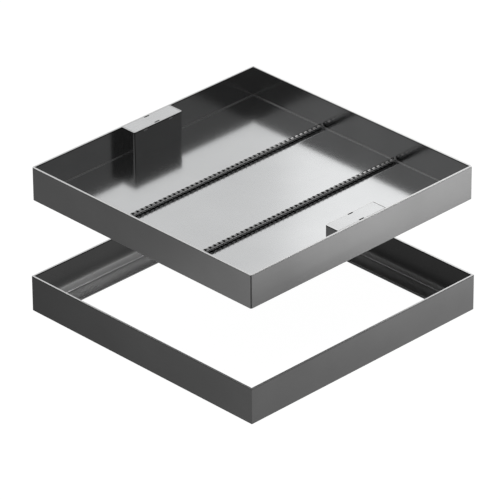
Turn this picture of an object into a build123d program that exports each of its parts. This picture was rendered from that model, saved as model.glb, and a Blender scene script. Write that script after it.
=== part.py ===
from build123d import *
import os
from math import atan2, degrees, sqrt

os.makedirs("parts", exist_ok=True)

# A recessed inspection cover for a septic tank, in stainless steel: an open square tray that is
# filled with paving, and the square frame that it drops into. X runs along the reinforcing bars,
# Y runs across them, and the origin is the middle of the frame's underside.

# Tray
tray_side = 600
tray_height = 72
tray_sheet = 4
tray_ledge = 30
floor_sheet = 5
tray_corner_radius = 3.5
seam_size = 1.6

# Frame
frame_sheet = 4
frame_flange = 40
frame_corner_radius = 1.5
side_gap = 1
rim_drop = 1

# How far the tray stands above its seat on the flange: at 0 the cover is closed
tray_lift = 242

# Edges that all the angle sections share
root_radius = 2.5
toe_radius = 2
edge_radius = 0.5

# Weld run between the tray's floor and its walls
weld_leg = 2
weld_crown = 0.25
weld_depth = 1.5

# Reinforcing bars
bar_diameter = 8
bar_spacing = 200
bar_end_gap = 3
rib_height = 0.7
rib_width = 5.2
rib_pitch = 12.15
rib_strip = 1.6

# Key boxes, where the lifting keys go in
key_box_length = 130
key_box_depth = 35
key_box_sheet = 2
key_box_bend = 4
key_box_relief = 3
lid_sheet = 3
lid_gap = 0.25
lid_play = 1.3
lid_corner_radius = 2
lid_notch_length = 13
lid_notch_depth = 3
lid_rest_width = 10
lid_rest_sheet = 3
lid_rest_spacing = 68
lid_rest_gap = 0.1
lifting_bar_diameter = 10
lifting_bar_drop = 24

# Sizes that follow from the ones above
frame_inside = tray_side + 2 * side_gap
frame_side = frame_inside + 2 * frame_sheet
frame_height = frame_sheet + tray_height + rim_drop
tray_inside = tray_side - 2 * tray_sheet
tray_foot = frame_sheet + tray_lift
ledge_top = tray_foot + tray_sheet
floor_top = ledge_top + floor_sheet
tray_rim = tray_foot + tray_height
lid_foot = tray_rim - lid_sheet

# Flats round a reinforcing bar
BAR_FLATS = 10

# The four sides, each with its turn from the side that faces -Y
SIDES = {"front_right": 0, "rear_right": 90, "rear_left": 180, "front_left": 270}


def section_plane(turn, height):
    """Upright plane across one side: x points outwards and y points up."""
    outward = Vector(0, -1, 0).rotate(Axis.Z, turn)
    along = Vector(-1, 0, 0).rotate(Axis.Z, turn)
    return Plane(origin=(0, 0, height), x_dir=outward, z_dir=along)


def plan_plane(turn, height):
    """Level plane at one side: x runs along the side and y points outwards."""
    along = Vector(-1, 0, 0).rotate(Axis.Z, turn)
    return Plane(origin=(0, 0, height), x_dir=along, z_dir=(0, 0, 1))


def corner_tip(side, corner_radius):
    """Where the mitre meets the rounded outer corner, the same along and outwards."""
    return side / 2 - corner_radius * (1 - 1 / sqrt(2))


def mitred_angle(turn, foot, side, height, leg, sheet, corner_radius):
    """One side of a square ring of angle section, mitred at both ends."""
    half = side / 2
    corner = half - corner_radius
    tip = corner_tip(side, corner_radius)
    with BuildPart() as angle:
        # An upright leg on the outside and a level leg that points inwards
        with BuildSketch(section_plane(turn, foot)):
            with BuildLine():
                FilletPolyline(
                    (half, 0),
                    (half, height),
                    (half - sheet, height),
                    (half - sheet, sheet),
                    (half - leg, sheet),
                    (half - leg, 0),
                    radius=[edge_radius, edge_radius, edge_radius, root_radius, toe_radius, edge_radius],
                    close=True,
                )
            make_face()
        extrude(amount=half, both=True)
        # The mitres, and the outer corners where the welds are ground round
        with BuildSketch(plan_plane(turn, foot)):
            with BuildLine():
                Polyline((0, half - leg), (half - leg, half - leg), (tip, tip))
                CenterArc((corner, corner), corner_radius, 45, 45)
                Line((corner, half), (0, half))
                mirror(about=Plane.YZ)
            make_face()
        extrude(amount=height, mode=Mode.INTERSECT)
    return angle.part


def save(part, name):
    part.label = name
    export_step(part, f"parts/{name}.step")


# Frame: four lengths of angle, and the tray rests on their level legs
for place, turn in SIDES.items():
    with BuildPart() as frame_length:
        add(
            mitred_angle(
                turn, 0, frame_side, frame_height, frame_flange, frame_sheet, frame_corner_radius
            )
        )
    save(frame_length.part, f"frame_side_{place}")

# Tray walls: four lengths of angle, with a groove down each corner where the mitres meet
for place, turn in SIDES.items():
    with BuildPart() as wall:
        add(
            mitred_angle(
                turn, tray_foot, tray_side, tray_height, tray_ledge, tray_sheet, tray_corner_radius
            )
        )
        tip = corner_tip(tray_side, tray_corner_radius)
        with BuildSketch(plan_plane(turn, tray_foot)):
            with Locations((tip, tip), (-tip, tip)):
                Rectangle(seam_size, seam_size)
        extrude(amount=tray_height, mode=Mode.SUBTRACT)
    save(wall.part, f"tray_wall_{place}")

# Tray floor: a plate on the walls' level legs, welded all round
wall_face = tray_inside / 2
plate_edge = wall_face - root_radius
with BuildPart() as tray_floor:
    with BuildSketch(Plane.XY.offset(ledge_top)):
        Rectangle(2 * plate_edge, 2 * plate_edge)
    extrude(amount=floor_sheet)
    with BuildLine(Plane.XY.offset(floor_top)) as weld_path:
        Polyline(
            (0, -wall_face),
            (-wall_face, -wall_face),
            (-wall_face, wall_face),
            (wall_face, wall_face),
            (wall_face, -wall_face),
            close=True,
        )
    with BuildSketch(section_plane(0, floor_top)) as weld_section:
        with BuildLine():
            Polyline(
                (wall_face - weld_leg, 0),
                (plate_edge, 0),
                (plate_edge, -weld_depth),
                (wall_face, -weld_depth),
                (wall_face, weld_leg),
            )
            SagittaArc((wall_face, weld_leg), (wall_face - weld_leg, 0), -weld_crown)
        make_face()
    sweep(sections=weld_section.sketch, path=weld_path.line, transition=Transition.RIGHT)
save(tray_floor.part, "tray_floor")

# Reinforcing bars: a core of BAR_FLATS narrow flats, with two rows of rolled ribs. Each rib goes
# half round, and the rows are half a pitch apart, with a plain strip between them above and below.
bar_length = tray_inside - 2 * bar_end_gap
core_radius = bar_diameter / 2
rib_radius = core_radius + rib_height
rib_count = int((bar_length - rib_width - rib_pitch / 2) / rib_pitch)
bar_height = floor_top + rib_radius
with BuildPart() as rib:
    with BuildSketch(Plane.YZ):
        RegularPolygon(rib_radius, BAR_FLATS, rotation=90)
    extrude(amount=rib_width / 2, taper=degrees(atan2(rib_height, rib_width / 2)))
    mirror(about=Plane.YZ)
    split(bisect_by=Plane.XZ.offset(rib_strip / 2))

for place, across in {"front": -bar_spacing / 2, "rear": bar_spacing / 2}.items():
    with BuildPart() as bar:
        with BuildSketch(Plane(origin=(0, across, bar_height), x_dir=(0, 1, 0), z_dir=(1, 0, 0))):
            RegularPolygon(core_radius, BAR_FLATS, rotation=90)
        extrude(amount=bar_length / 2, both=True)
        for shift, turn in {-rib_pitch / 4: 0, rib_pitch / 4: 180}.items():
            with Locations((shift, across, bar_height)), GridLocations(rib_pitch, 0, rib_count, 1):
                add(rib.part, rotation=(0, 0, turn))
    save(bar.part, f"reinforcing_bar_{place}")

# Key boxes: a pocket against the wall at the middle of two opposite sides, closed by a lid. The
# front lid is pushed to one end of its pocket and the rear lid is in the middle of its own.
pocket_face = wall_face - key_box_depth
pocket_length = key_box_length - 2 * key_box_sheet
pocket_depth = key_box_depth - key_box_sheet
pocket_middle = wall_face - pocket_depth / 2
lid_length = pocket_length - lid_play
lid_depth = pocket_depth - 2 * lid_gap
lid_shifts = {"front": lid_play / 2, "rear": 0}
for place, turn in {"front": 0, "rear": 180}.items():
    # A strip folded to three sides that stands on the floor, cut away to clear the weld run and
    # slotted for the flats that the lid rests on
    with BuildPart() as key_box:
        with BuildSketch(plan_plane(turn, floor_top)):
            with BuildLine():
                FilletPolyline(
                    (-key_box_length / 2, wall_face),
                    (-key_box_length / 2, pocket_face),
                    (key_box_length / 2, pocket_face),
                    (key_box_length / 2, wall_face),
                    radius=key_box_bend,
                )
                offset(amount=key_box_sheet, side=Side.LEFT)
            make_face()
        extrude(amount=tray_rim - floor_top)
        with BuildSketch(section_plane(turn, floor_top)):
            with BuildLine():
                Polyline(
                    (wall_face - key_box_relief, 0),
                    (wall_face, 0),
                    (wall_face, key_box_relief),
                    close=True,
                )
            make_face()
        extrude(amount=key_box_length / 2, both=True, mode=Mode.SUBTRACT)
        with BuildSketch(plan_plane(turn, lid_foot)):
            with Locations((0, pocket_face)), GridLocations(lid_rest_spacing, 0, 2, 1):
                Rectangle(lid_rest_width + 2 * lid_rest_gap, 3 * key_box_sheet)
        extrude(amount=-lid_rest_sheet - lid_rest_gap, mode=Mode.SUBTRACT)
    save(key_box.part, f"key_box_{place}")

    # Lid, flush with the rim, with a notch in each long edge to prise it out
    with BuildPart() as lid:
        with BuildSketch(plan_plane(turn, lid_foot)):
            with Locations((lid_shifts[place], pocket_middle)):
                RectangleRounded(lid_length, lid_depth, lid_corner_radius)
            with Locations((lid_shifts[place], pocket_middle)), GridLocations(0, lid_depth, 1, 2):
                Rectangle(lid_notch_length, 2 * lid_notch_depth, mode=Mode.SUBTRACT)
        extrude(amount=lid_sheet)
    save(lid.part, f"key_box_lid_{place}")

    # Two small flats that the lid rests on, from the wall through the slots in the folded strip
    for end, way in {"left": 1, "right": -1}.items():
        with BuildPart() as rest:
            with BuildSketch(plan_plane(turn, lid_foot - lid_rest_sheet)):
                with Locations((way * lid_rest_spacing / 2, wall_face - key_box_depth / 2)):
                    Rectangle(lid_rest_width, key_box_depth)
            extrude(amount=lid_rest_sheet)
        save(rest.part, f"lid_rest_{place}_{end}")

    # Round bar across the pocket that the lifting key hooks under
    with BuildPart() as lifting_bar:
        level = plan_plane(turn, tray_rim - lifting_bar_drop)
        with BuildSketch(Plane(origin=level.from_local_coords((0, wall_face)), z_dir=-level.y_dir)):
            Circle(lifting_bar_diameter / 2)
        extrude(amount=pocket_depth)
    save(lifting_bar.part, f"lifting_bar_{place}")
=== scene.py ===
import math
import bmesh
import bpy
from mathutils import Matrix, Vector


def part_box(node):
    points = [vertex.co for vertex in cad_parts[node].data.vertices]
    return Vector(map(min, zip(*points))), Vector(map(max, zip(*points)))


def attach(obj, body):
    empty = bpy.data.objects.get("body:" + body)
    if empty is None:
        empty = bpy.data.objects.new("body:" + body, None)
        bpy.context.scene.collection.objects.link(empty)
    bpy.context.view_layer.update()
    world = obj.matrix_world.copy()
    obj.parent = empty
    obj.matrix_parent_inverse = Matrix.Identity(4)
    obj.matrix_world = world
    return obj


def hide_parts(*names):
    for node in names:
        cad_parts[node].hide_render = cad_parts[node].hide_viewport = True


# A recessed cover for a septic tank: a stainless tray lifted above its frame, on a white floor.
# X runs along the reinforcing bars and Y across them. Lengths are in metres.
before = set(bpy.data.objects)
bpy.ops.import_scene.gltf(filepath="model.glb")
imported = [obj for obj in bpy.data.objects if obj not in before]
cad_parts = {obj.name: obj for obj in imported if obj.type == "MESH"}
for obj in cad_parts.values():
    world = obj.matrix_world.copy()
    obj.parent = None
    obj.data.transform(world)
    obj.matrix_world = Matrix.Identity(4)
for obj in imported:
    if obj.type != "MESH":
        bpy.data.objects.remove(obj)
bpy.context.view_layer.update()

SIDES = ["front_right", "rear_right", "rear_left", "front_left"]
ENDS = ["front", "rear"]

# Sizes of the solids
weld_leg = 0.002
tray_sheet = 0.004
frame_sheet = 0.004
frame_half = 0.305
flange_toe = 0.265
tray_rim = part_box("tray_wall_front_left")[1].z
frame_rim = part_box("frame_side_front_left")[1].z
floor_low, floor_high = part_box("tray_floor")
floor_top = floor_high.z - weld_leg
wall_face = floor_high.x

# Camera, from the straight edges of the photograph
CAMERA_AZIMUTH = math.radians(-44.477)
CAMERA_ELEVATION = math.radians(29.356)
CAMERA_ROLL = math.radians(-0.402)
CAMERA_DISTANCE = 9.45097
CAMERA_RIGHT = -0.005151
CAMERA_UP = -0.160689
CAMERA_LENS = 353.657
CAMERA_CLIP = (0.1, 200)

# Tone and roughness of each steel face, for the sides that run along X and along Y. The tones that
# differ between the outer and inner faces and between the sides of one steel are painted shade
TRAY_OUTER = {"X": (0.077, 0.36), "Y": (0.071, 0.36)}
TRAY_INNER = {"X": (0.22, 0.17), "Y": (0.165, 0.18)}
FRAME_OUTER = {"X": (0.137, 0.40), "Y": (0.051, 0.40)}
FRAME_INNER = {"X": (0.046, 0.30), "Y": (0.018, 0.30)}
KEY_BOX = (0.16, 0.18)
FLOOR_PLATE = (0.85, 0.15)
LID_PLATE = (0.89, 0.26)
FITTING = (0.35, 0.35)
# The rim's tone is a painted highlight
RIM_HIGHLIGHT_TONE = 0.9
WELD_TONE = 0.23
WELD_ROUGHER = 0.25
# The floor's dark underside is painted shade
UNDERSIDE_PAINTED_SHADE = 0.07
FLOOR_TINT = 0.012
LID_TINT = 0.01
TINT_BLUE = 0.6

# Painted shade along each side: share of its tone that a face has at the low and at the high end of
# its side
TRAY_OUTER_FADE = {"X": (1.00, 1.07), "Y": (1.06, 0.82)}
TRAY_INNER_FADE = {"X": (0.98, 1.22), "Y": (0.88, 1.15)}
FRAME_OUTER_FADE = {"X": (0.76, 1.15), "Y": (1.30, 0.62)}
NO_FADE = (1, 1)

# Height on the frame's inner face below which it mirrors the flange, and the face's tone there, a
# painted reflection of the flange
FRAME_SEAT_REFLECTION = {"X": (0.030, 0.85), "Y": (0.026, 0.42)}
SEAT_BLUR = 0.010

# Painted shade in narrow dark bands, and where each begins and ends: beyond the flange's inner
# edge, below the rims, and at the key boxes' folds, which are found by their distance from the
# box's end and from its outer face
TOE_SHADE = 0.15
TOE_BAND = (0.0003, 0.0020)
INNER_RIM_SHADE = 0.15
OUTER_RIM_SHADE = 0.75
RIM_BAND = (-0.0032, -0.0018)
FOLD_SHADE = 0.5
FOLD_BAND_X = (-0.0030, -0.0012)
FOLD_BAND_Y = (0.0045, 0.0020)

# How deep the painted highlight on the rim goes over the rounded edge
TRAY_RIM_HIGHLIGHT_DEPTH = 0.0006
FRAME_RIM_HIGHLIGHT_DEPTH = 0.00015

# How sharply two faces part, where the floor's painted dark underside ends, and a distance beyond
# all faces
FACE_BLUR = 0.0002
UNDERSIDE_BAND = (0.0005, 0.0015)
ALL_INSIDE = 1.0

# Noises on the steel: scale, detail and roughness of the fine grain and of the broad clouds
GRAIN = (1600, 3, 0.6)
CLOUDS = (9, 3, 0.5)
FLOOR_GRAIN = (900, 3, 0.6)
FLOOR_CLOUDS = (7, 4, 0.55)
NOISE_SPAN = (0.3, 0.7)
GRAIN_STRETCH = {"X": (0.02, 1, 1), "Y": (1, 0.02, 1)}
FLOOR_GRAIN_STRETCH = (0.03, 1, 1)
GRAIN_DEPTH = 0.00002
GRAIN_STRENGTH = 0.4

# How far the noises swing tone and roughness either way
SHEET_TONE_SWING = 0.05
PLATE_TONE_SWING = 0.03
ROUGHNESS_SWING = 0.03
FLOOR_ROUGHNESS_SWING = 0.005

# Reinforcing bars: their place across the tray and their first rib's place along it
BARS = {"front": (-0.1, 0.0005), "rear": (0.1, 0.0013)}
core_radius = 0.0042
rib_height = 0.0008
rib_half_width = 0.0025
rib_pitch = 0.01215
rib_crown = 1.3
strip_turn = math.radians(62)
strip_clear = 0.10
strip_fade = 0.35
bar_plain_end = 0.006
bar_chamfer = 0.0006
bar_axis = floor_top + core_radius + rib_height
STATIONS_PER_PITCH = 16
BAR_STEPS = 30
CORE_TOLERANCE = 0.0001
MERGE_DISTANCE = 0.00001

# Painted light and shade on the bars: tones of gap and rib above the plain strip, with the dark
# ribs as painted shade, below it, and above it at the painted highlight of the far end; then the
# strip's painted highlight, the painted contact shadow at the foot, and the bands where each begins
# and ends
BAR_UPPER_PAINTED_LIGHT = (0.50, 0.01)
BAR_LOWER_PAINTED_LIGHT = (0.40, 0.20)
BAR_END_PAINTED_HIGHLIGHT = (1.0, 0.10)
BAR_STRIP_PAINTED_HIGHLIGHT = 0.95
BAR_FOOT_PAINTED_SHADOW = 0.01
BAR_ROUGHNESS = (0.12, 0.6)
END_HIGHLIGHT_BAND = (0.10, 0.20)
RIB_BAND = (-0.2, 0.4)
STRIP_BAND = (0.0005, 0.0010)
FOOT_SHADOW_BAND = (-0.80 * core_radius, -0.70 * core_radius)

# Stage and room
FLOOR_GLOW = 0.97
FLOOR_PAINT = 0.15
FLOOR_RADIUS = 60
FLOOR_SEGMENTS = 96
SKY_BASE = 0.02
SKY_HORIZON = 0.05
HORIZON_BAND = (0.05, 0.16)
LOBE_BAND = (0.65, 1.0)

# Broad lobes of light in the room: azimuth from +X, elevation, both in degrees, and strength
ROOM_LOBES = {
    "rear": (45, 32, 0.64),
    "right_front": (-45, 32, 0.26),
    "front_middle": (-90, 32, 0.02),
    "camera_side": (-135, 32, 0.02),
    "left_front": (180, 32, 1.25),
    "rear_left": (90, 32, 0.38),
    "top": (0, 90, 0.50),
}

# Softboxes: place, point they face, width, height and radiance
SOFTBOXES = {
    "rear_panel": ((3.23, 1.71, 2.22), (0.79, -0.78, 0.26), 2.0, 1.6, 0.33),
    "top_panel": ((-0.2, -0.2, 2.4), (0, 0, 0.2), 1.8, 1.8, 0.30),
    "low_right_panel": ((0.75, -1.00, 0.02), (0.75, -1.00, 1.0), 1.1, 0.9, 4.2),
    "low_front_panel": ((0.05, -0.90, 0.02), (0.05, -0.90, 1.0), 0.5, 0.6, 1.8),
    "low_left_panel": ((-0.80, -0.20, 0.02), (-0.80, -0.20, 1.0), 0.6, 0.8, 1.0),
    "right_panel": ((1.00, -1.20, 0.18), (0.0, 0.0, 0.18), 0.9, 0.30, 2.01),
    "left_panel": ((-1.58, 1.20, 1.48), (-0.05, -0.36, 0.25), 1.2, 1.2, 0.14),
}


def object_from(bm, name, material):
    """Turn a bmesh into an object of the scene."""
    mesh = bpy.data.meshes.new(name)
    bm.to_mesh(mesh)
    bm.free()
    mesh.materials.append(material)
    result = bpy.data.objects.new(name, mesh)
    bpy.context.scene.collection.objects.link(result)
    return result


def grey(value, tint=0.0):
    """A neutral grey, a touch cooler for a positive tint."""
    return (value * (1 - tint), value, value * (1 + tint * TINT_BLUE), 1)


def band(edge, offsets):
    """The two ends of a band that is given by its offsets from an edge."""
    return edge + offsets[0], edge + offsets[1]


class Nodes:
    """A node tree, with short calls that add its nodes.

    The values that the calls take are numbers, colours or other nodes' outputs.
    """

    def __init__(self, tree, coordinates):
        self.tree = tree
        self.place = self.add("ShaderNodeTexCoord").outputs[coordinates]
        self.axes = self.add("ShaderNodeSeparateXYZ", {"Vector": self.place}).outputs

    def add(self, kind, values=None, **settings):
        """Add a node with its settings, and feed its inputs by name or by number."""
        node = self.tree.nodes.new(kind)
        for key, setting in settings.items():
            setattr(node, key, setting)
        for key, value in (values or {}).items():
            self.feed(node.inputs[key], value)
        return node

    def feed(self, socket, value):
        """Link an input to another node's output, or set it."""
        if isinstance(value, bpy.types.NodeSocket):
            self.tree.links.new(value, socket)
        else:
            socket.default_value = value

    def maths(self, operation, *values):
        node = self.add("ShaderNodeMath", dict(enumerate(values)), operation=operation)
        return node.outputs[0]

    def total(self, first, *others):
        """Sum of two or more values."""
        for other in others:
            first = self.maths("ADD", first, other)
        return first

    def ramp(self, value, ends, low, high, ease="LINEAR"):
        """Number that goes from low to high while the value goes between two ends."""
        values = {
            "Value": value, "From Min": ends[0], "From Max": ends[1], "To Min": low, "To Max": high,
        }
        node = self.add("ShaderNodeMapRange", values, interpolation_type=ease, clamp=True)
        return node.outputs["Result"]

    def mix(self, share, first, second):
        """Blend of two colours."""
        values = {0: share, 6: first, 7: second}
        return self.add("ShaderNodeMix", values, data_type="RGBA").outputs[2]

    def blend(self, share, first, second):
        """Blend of two numbers."""
        values = {0: share, 2: first, 3: second}
        return self.add("ShaderNodeMix", values, data_type="FLOAT").outputs[0]

    def scaled(self, colour, factor):
        """A colour multiplied by a number."""
        values = {0: colour[:3], "Scale": factor}
        return self.add("ShaderNodeVectorMath", values, operation="SCALE").outputs[0]

    def noise(self, scale, detail, rough, stretch=(1, 1, 1)):
        """Noise from 0 to 1 over the place of the point."""
        mapped = self.add("ShaderNodeMapping", {"Vector": self.place, "Scale": stretch}).outputs[0]
        values = {"Vector": mapped, "Scale": scale, "Detail": detail, "Roughness": rough}
        return self.add("ShaderNodeTexNoise", values).outputs["Fac"]

    def swing(self, noise, middle, reach):
        """Number that a noise swings either way of a middle."""
        return self.ramp(noise, NOISE_SPAN, middle - reach, middle + reach)

    def beyond(self, value, limit):
        """0 before a limit and 1 beyond it."""
        return self.ramp(value, band(limit, (-FACE_BLUR, FACE_BLUR)), 0, 1)

    def size_of(self, letter):
        """Distance from the middle along one axis."""
        return self.maths("ABSOLUTE", self.axes[letter])

    def reach(self):
        """Distance from the middle along X or along Y, whichever is more."""
        return self.maths("MAXIMUM", self.size_of("X"), self.size_of("Y"))


# Materials

def bare_metal(name):
    """Material of bare metal, with its nodes and its shader's inputs."""
    material = bpy.data.materials.new(name)
    material.use_nodes = True
    inputs = material.node_tree.nodes["Principled BSDF"].inputs
    inputs["Metallic"].default_value = 1.0
    return material, Nodes(material.node_tree, "Object"), inputs


def grain_relief(nodes, grain, normal):
    """Give the surface the slight relief of its grain."""
    values = {"Distance": GRAIN_DEPTH, "Strength": GRAIN_STRENGTH, "Height": grain}
    nodes.feed(normal, nodes.add("ShaderNodeBump", values).outputs["Normal"])


def sheet_steel(
    name, along, half, outer, inner, rim, rim_highlight_depth,
    outer_fade=NO_FADE, inner_fade=NO_FADE, seat=None, fold=None,
):
    """Rolled sheet of a square ring, with fine grain along one axis and a painted highlight on its
    cut rim.

    outer and inner are the tone and roughness of its two faces, whose differing tones and fades
    are painted shade, and half is how far from the middle they meet. seat is the height and tone
    of the part of the inner face that mirrors a flange, a painted reflection, and fold is the
    corner where a key box's strip is folded, which gets a painted shade.
    """
    material, nodes, inputs = bare_metal(name)
    grain = nodes.noise(*GRAIN, GRAIN_STRETCH[along])
    cloud = nodes.noise(*CLOUDS)
    height = nodes.axes["Z"]
    outside = nodes.beyond(nodes.reach(), half)
    length = (-half, half)
    inner_ends = (inner[0] * share for share in inner_fade)
    outer_ends = (outer[0] * share for share in outer_fade)
    inner_tone = nodes.ramp(nodes.axes[along], length, *inner_ends)
    outer_tone = nodes.ramp(nodes.axes[along], length, *outer_ends)
    if seat is not None:
        # Painted reflection: below the seat height the face mirrors the dark flange and not the
        # white floor, so its tone rises there by as much as what it mirrors falls
        seat_height, seat_reflection_tone = seat
        seat_band = band(seat_height, (SEAT_BLUR, -SEAT_BLUR))
        low = nodes.ramp(height, seat_band, 0, 1, "SMOOTHSTEP")
        inner_tone = nodes.maths("DIVIDE", 1.0, nodes.blend(low, 1 / inner[0], 1 / seat_reflection_tone))
        # Painted shade in a dark band beyond the flange's inner edge
        shade = nodes.ramp(nodes.reach(), band(flange_toe, TOE_BAND), TOE_SHADE, 1)
        inner_tone = nodes.maths("MULTIPLY", inner_tone, shade)
    tone = nodes.blend(outside, inner_tone, outer_tone)
    tone = nodes.maths("MULTIPLY", tone, nodes.swing(cloud, 1, SHEET_TONE_SWING))

    # Painted shade: dark lines where the face turns over into the rim
    turning = nodes.ramp(height, band(rim, RIM_BAND), 0, 1)
    shade = nodes.blend(outside, INNER_RIM_SHADE, OUTER_RIM_SHADE)
    tone = nodes.maths("MULTIPLY", tone, nodes.blend(turning, 1, shade))
    if fold is not None:
        # The folded corners mirror the brightest lamp, so they are toned down
        past_x = nodes.ramp(nodes.size_of("X"), band(fold.x, FOLD_BAND_X), 0, 1)
        past_y = nodes.ramp(nodes.size_of("Y"), band(-fold.y, FOLD_BAND_Y), 0, 1)
        shade = nodes.blend(nodes.maths("MULTIPLY", past_x, past_y), 1, FOLD_SHADE)
        tone = nodes.maths("MULTIPLY", tone, shade)
    # Painted highlight on the rim
    edge = nodes.ramp(height, band(rim, (-rim_highlight_depth, -rim_highlight_depth / 3)), 0, 1)
    nodes.feed(inputs["Base Color"], nodes.scaled((1, 1, 1), nodes.blend(edge, tone, RIM_HIGHLIGHT_TONE)))
    rough = nodes.blend(outside, inner[1], outer[1])
    rough = nodes.maths("ADD", rough, nodes.swing(grain, 0, ROUGHNESS_SWING))
    nodes.feed(inputs["Roughness"], rough)
    grain_relief(nodes, grain, inputs["Normal"])
    return material


def plate_steel(name, tone, roughness, tint=0.0):
    """Plate or bar with an even, fine grain."""
    material, nodes, inputs = bare_metal(name)
    grain = nodes.noise(*GRAIN, GRAIN_STRETCH["X"])
    level = nodes.swing(nodes.noise(*CLOUDS), 1, PLATE_TONE_SWING)
    nodes.feed(inputs["Base Color"], nodes.scaled(grey(tone, tint), level))
    nodes.feed(inputs["Roughness"], nodes.swing(grain, roughness, ROUGHNESS_SWING))
    grain_relief(nodes, grain, inputs["Normal"])
    return material


def bright_floor_steel(name, tone, roughness):
    """Smooth bright sheet with its underside painted dark as shade, and the duller weld run round
    its edge.
    """
    material, nodes, inputs = bare_metal(name)
    grain = nodes.noise(*FLOOR_GRAIN, FLOOR_GRAIN_STRETCH)
    level = nodes.swing(nodes.noise(*FLOOR_CLOUDS), 1, PLATE_TONE_SWING)
    weld = nodes.beyond(nodes.reach(), wall_face - weld_leg)
    # Painted shade on the floor's underside
    under = nodes.ramp(nodes.axes["Z"], band(floor_low.z, UNDERSIDE_BAND), 1, 0)
    colour = nodes.mix(weld, nodes.scaled(grey(tone, FLOOR_TINT), level), grey(WELD_TONE))
    nodes.feed(inputs["Base Color"], nodes.mix(under, colour, grey(UNDERSIDE_PAINTED_SHADE)))
    rough = nodes.swing(grain, roughness, FLOOR_ROUGHNESS_SWING)
    rough = nodes.maths("ADD", rough, nodes.blend(weld, 0, WELD_ROUGHER))
    nodes.feed(inputs["Roughness"], rough)
    return material


def ribbed_steel(name, across, first_rib):
    """Ribbed bar with painted light: ribs painted dark as shade, brighter between them, a painted
    highlight on the plain strips and towards the far end, different tones above and below the
    strip, and a painted contact shadow at the foot.

    The strips lie in a plane through the bar's axis, and the ribs of the two rows beside it are
    half a pitch apart.
    """
    material, nodes, inputs = bare_metal(name)
    offset_x = nodes.maths("SUBTRACT", nodes.axes["X"], first_rib)
    offset_y = nodes.maths("SUBTRACT", nodes.axes["Y"], across)
    offset_z = nodes.maths("SUBTRACT", nodes.axes["Z"], bar_axis)
    drop = nodes.total(
        nodes.maths("MULTIPLY", offset_y, -math.cos(strip_turn)),
        nodes.maths("MULTIPLY", offset_z, -math.sin(strip_turn)),
    )
    below = nodes.beyond(drop, 0)
    # Painted shade on the ribs
    wave = nodes.maths("COSINE", nodes.maths("MULTIPLY", offset_x, math.tau / rib_pitch))
    sided_wave = nodes.blend(below, nodes.maths("MULTIPLY", wave, -1), wave)
    rib = nodes.ramp(sided_wave, RIB_BAND, 0, 1)
    # Painted highlight towards the bar's far end
    bright = nodes.ramp(nodes.axes["X"], END_HIGHLIGHT_BAND, 0, 1)
    gap_tone, rib_tone = (nodes.blend(bright, *tones) for tones in zip(BAR_UPPER_PAINTED_LIGHT, BAR_END_PAINTED_HIGHLIGHT))
    tone = nodes.blend(below, nodes.blend(rib, gap_tone, rib_tone), nodes.blend(rib, *BAR_LOWER_PAINTED_LIGHT))
    # Painted highlight along the plain strip, and painted contact shadow at the foot
    strip = nodes.ramp(nodes.maths("ABSOLUTE", drop), STRIP_BAND, 1, 0)
    foot_shadow = nodes.ramp(offset_z, FOOT_SHADOW_BAND, 1, 0)
    tone = nodes.blend(foot_shadow, nodes.blend(strip, tone, BAR_STRIP_PAINTED_HIGHLIGHT), BAR_FOOT_PAINTED_SHADOW)
    nodes.feed(inputs["Base Color"], nodes.scaled((1, 1, 1), tone))
    nodes.feed(inputs["Roughness"], nodes.blend(strip, *BAR_ROUGHNESS))
    return material


tray_steel = {
    axis: sheet_steel(
        f"tray_sheet_{axis.lower()}", axis, wall_face + tray_sheet / 2,
        TRAY_OUTER[axis], TRAY_INNER[axis], tray_rim, TRAY_RIM_HIGHLIGHT_DEPTH,
        outer_fade=TRAY_OUTER_FADE[axis], inner_fade=TRAY_INNER_FADE[axis],
    )
    for axis in "XY"
}
frame_steel = {
    axis: sheet_steel(
        f"frame_sheet_{axis.lower()}", axis, frame_half - frame_sheet / 2,
        FRAME_OUTER[axis], FRAME_INNER[axis], frame_rim, FRAME_RIM_HIGHLIGHT_DEPTH,
        outer_fade=FRAME_OUTER_FADE[axis], seat=FRAME_SEAT_REFLECTION[axis],
    )
    for axis in "XY"
}
box_steel = sheet_steel(
    "key_box_strip", "X", ALL_INSIDE, KEY_BOX, KEY_BOX, tray_rim, TRAY_RIM_HIGHLIGHT_DEPTH,
    fold=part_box("key_box_front")[1],
)
lid_steel = plate_steel("lid_plate", *LID_PLATE, LID_TINT)
fitting_steel = plate_steel("fitting_strip", *FITTING)
bar_steel = {end: ribbed_steel(f"ribbed_bar_{end}", *BARS[end]) for end in ENDS}

along = {"front_right": "X", "rear_left": "X", "front_left": "Y", "rear_right": "Y"}
finishes = {"tray_floor": bright_floor_steel("floor_sheet", *FLOOR_PLATE)}
for side in SIDES:
    finishes[f"tray_wall_{side}"] = tray_steel[along[side]]
    finishes[f"frame_side_{side}"] = frame_steel[along[side]]
for end in ENDS:
    finishes[f"key_box_{end}"] = box_steel
    finishes[f"key_box_lid_{end}"] = lid_steel
    finishes[f"lifting_bar_{end}"] = fitting_steel
    finishes[f"lid_rest_{end}_left"] = fitting_steel
    finishes[f"lid_rest_{end}_right"] = fitting_steel
    finishes[f"reinforcing_bar_{end}"] = bar_steel[end]
for name, material in finishes.items():
    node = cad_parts[name]
    node.data.materials.clear()
    node.data.materials.append(material)


# Reinforcing bars: round cores with crescent ribs in two rows, half a pitch apart

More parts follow.
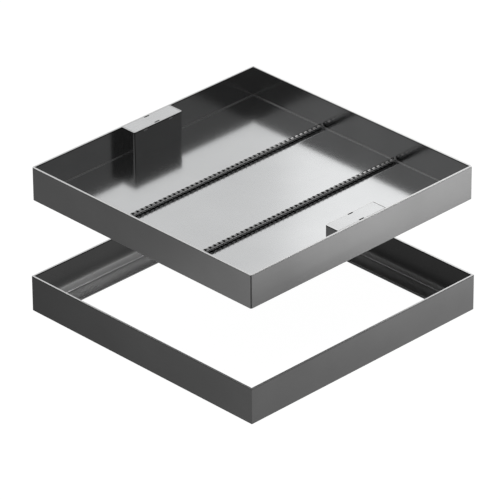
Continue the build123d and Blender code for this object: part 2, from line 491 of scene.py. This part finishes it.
def bar_outline(half, first_rib):
    """Places along the bar with the core's radius at each, from end to end."""
    pitches = int((2 * half - bar_plain_end) / rib_pitch)
    stations = pitches * STATIONS_PER_PITCH
    step = rib_pitch / STATIONS_PER_PITCH
    outline = [(-half, 0), (-half, core_radius - bar_chamfer), (-half + bar_chamfer, core_radius)]
    for index in range(stations + 1):
        outline.append((first_rib + (index - stations / 2) * step, core_radius))
    outline += [(half - bar_chamfer, core_radius), (half, core_radius - bar_chamfer), (half, 0)]
    return outline


def raise_ribs(bm, half, first_rib):
    """Raise the ribs out of the core, so that they die away at the plain strips."""
    for vert in bm.verts:
        radius = math.hypot(vert.co.y, vert.co.z)
        if radius < core_radius - CORE_TOLERANCE or abs(vert.co.x) > half - bar_plain_end:
            continue
        turn = math.atan2(-vert.co.y, vert.co.z) - strip_turn
        row = 0 if math.sin(turn) > 0 else rib_pitch / 2
        along_rib = (vert.co.x - first_rib - row + rib_pitch / 2) % rib_pitch - rib_pitch / 2
        if abs(along_rib) < rib_half_width:
            crown = math.cos(math.pi / 2 * along_rib / rib_half_width) ** rib_crown
            fade = min(1, max(0, (abs(math.sin(turn)) - strip_clear) / strip_fade))
            growth = 1 + rib_height * crown * fade * (2 - fade) / radius
            vert.co.y *= growth
            vert.co.z *= growth


for end in ENDS:
    low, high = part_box(f"reinforcing_bar_{end}")
    half = (high.x - low.x) / 2
    across, first_rib = BARS[end]
    bm = bmesh.new()
    chain = [bm.verts.new((x, 0, radius)) for x, radius in bar_outline(half, first_rib)]
    for first, second in zip(chain, chain[1:]):
        bm.edges.new((first, second))
    bmesh.ops.spin(
        bm, geom=bm.verts[:] + bm.edges[:], cent=(0, 0, 0), axis=(1, 0, 0),
        angle=math.tau, steps=BAR_STEPS, use_merge=True,
    )
    bmesh.ops.remove_doubles(bm, verts=bm.verts[:], dist=MERGE_DISTANCE)
    bmesh.ops.recalc_face_normals(bm, faces=bm.faces[:])
    raise_ribs(bm, half, first_rib)
    bmesh.ops.translate(bm, verts=bm.verts[:], vec=((low.x + high.x) / 2, across, bar_axis))
    for face in bm.faces:
        face.smooth = True
    bar = object_from(bm, f"ribbed_bar_{end}", bar_steel[end])
    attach(bar, "root")
    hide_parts(f"reinforcing_bar_{end}")

# Camera
back = Vector((
    math.sin(CAMERA_AZIMUTH) * math.cos(CAMERA_ELEVATION),
    -math.cos(CAMERA_AZIMUTH) * math.cos(CAMERA_ELEVATION),
    math.sin(CAMERA_ELEVATION),
))
level_right = Vector((math.cos(CAMERA_AZIMUTH), math.sin(CAMERA_AZIMUTH), 0))
level_up = back.cross(level_right)
view_right = math.cos(CAMERA_ROLL) * level_right + math.sin(CAMERA_ROLL) * level_up
view_up = -math.sin(CAMERA_ROLL) * level_right + math.cos(CAMERA_ROLL) * level_up
position = (
    Vector((0, 0, tray_rim)) + back * CAMERA_DISTANCE
    + level_right * CAMERA_RIGHT + level_up * CAMERA_UP
)
turned = Matrix((view_right, view_up, back)).transposed().to_4x4()
camera_data = bpy.data.cameras.new("camera")
camera_data.lens = CAMERA_LENS
camera_data.clip_start, camera_data.clip_end = CAMERA_CLIP
camera = bpy.data.objects.new("camera", camera_data)
camera.matrix_world = Matrix.Translation(position) @ turned
bpy.context.scene.collection.objects.link(camera)
bpy.context.scene.camera = camera

# Stage: a pale floor that glows white to the camera and in the steel, and keeps a soft shadow
stage_material = bpy.data.materials.new("stage_floor")
stage_material.use_nodes = True
stage_material.node_tree.nodes.clear()
stage = Nodes(stage_material.node_tree, "Object")
path = stage.add("ShaderNodeLightPath").outputs
seen = stage.maths("MAXIMUM", path["Is Camera Ray"], path["Is Glossy Ray"])
seen = stage.maths("MAXIMUM", seen, path["Is Transmission Ray"])
level = stage.maths("MULTIPLY", seen, FLOOR_GLOW)
glow = stage.add("ShaderNodeEmission", {"Strength": level}).outputs[0]
paint = stage.add("ShaderNodeBsdfDiffuse", {"Color": grey(FLOOR_PAINT)}).outputs[0]
both = stage.add("ShaderNodeAddShader", {0: paint, 1: glow}).outputs[0]
stage.add("ShaderNodeOutputMaterial", {"Surface": both})

disc = bmesh.new()
bmesh.ops.create_circle(disc, cap_ends=True, segments=FLOOR_SEGMENTS, radius=FLOOR_RADIUS)
object_from(disc, "stage_floor", stage_material)

# World: a dark room with broad lobes of light in it and a faint band at the horizon
world = bpy.data.worlds.new("room")
bpy.context.scene.world = world
world.use_nodes = True
world.node_tree.nodes.clear()
room = Nodes(world.node_tree, "Generated")


def room_lobe(azimuth, elevation, strength):
    """A soft round lobe of light in one direction of the room."""
    turn, tilt = math.radians(azimuth), math.radians(elevation)
    direction = (math.cos(tilt) * math.cos(turn), math.cos(tilt) * math.sin(turn), math.sin(tilt))
    values = {0: room.place, 1: direction}
    dot = room.add("ShaderNodeVectorMath", values, operation="DOT_PRODUCT").outputs["Value"]
    return room.ramp(dot, LOBE_BAND, 0, strength, "SMOOTHSTEP")


horizon = room.ramp(room.axes["Z"], HORIZON_BAND, SKY_HORIZON, 0, "SMOOTHSTEP")
lobes = (room_lobe(*lobe) for lobe in ROOM_LOBES.values())
light = room.add("ShaderNodeBackground", {"Strength": room.total(horizon, SKY_BASE, *lobes)})
room.add("ShaderNodeOutputWorld", {"Surface": light.outputs[0]})

# Softboxes, which the camera doesn't see
for name, (place, target, width, height, radiance) in SOFTBOXES.items():
    data = bpy.data.lights.new(name, "AREA")
    data.shape = "RECTANGLE"
    data.size = width
    data.size_y = height
    data.energy = radiance * math.pi * width * height
    lamp = bpy.data.objects.new(name, data)
    towards = (Vector(target) - Vector(place)).normalized()
    lamp.rotation_mode = "QUATERNION"
    lamp.rotation_quaternion = towards.to_track_quat("-Z", "Y")
    lamp.location = place
    lamp.visible_camera = False
    bpy.context.scene.collection.objects.link(lamp)

bpy.context.scene.view_settings.view_transform = "Standard"
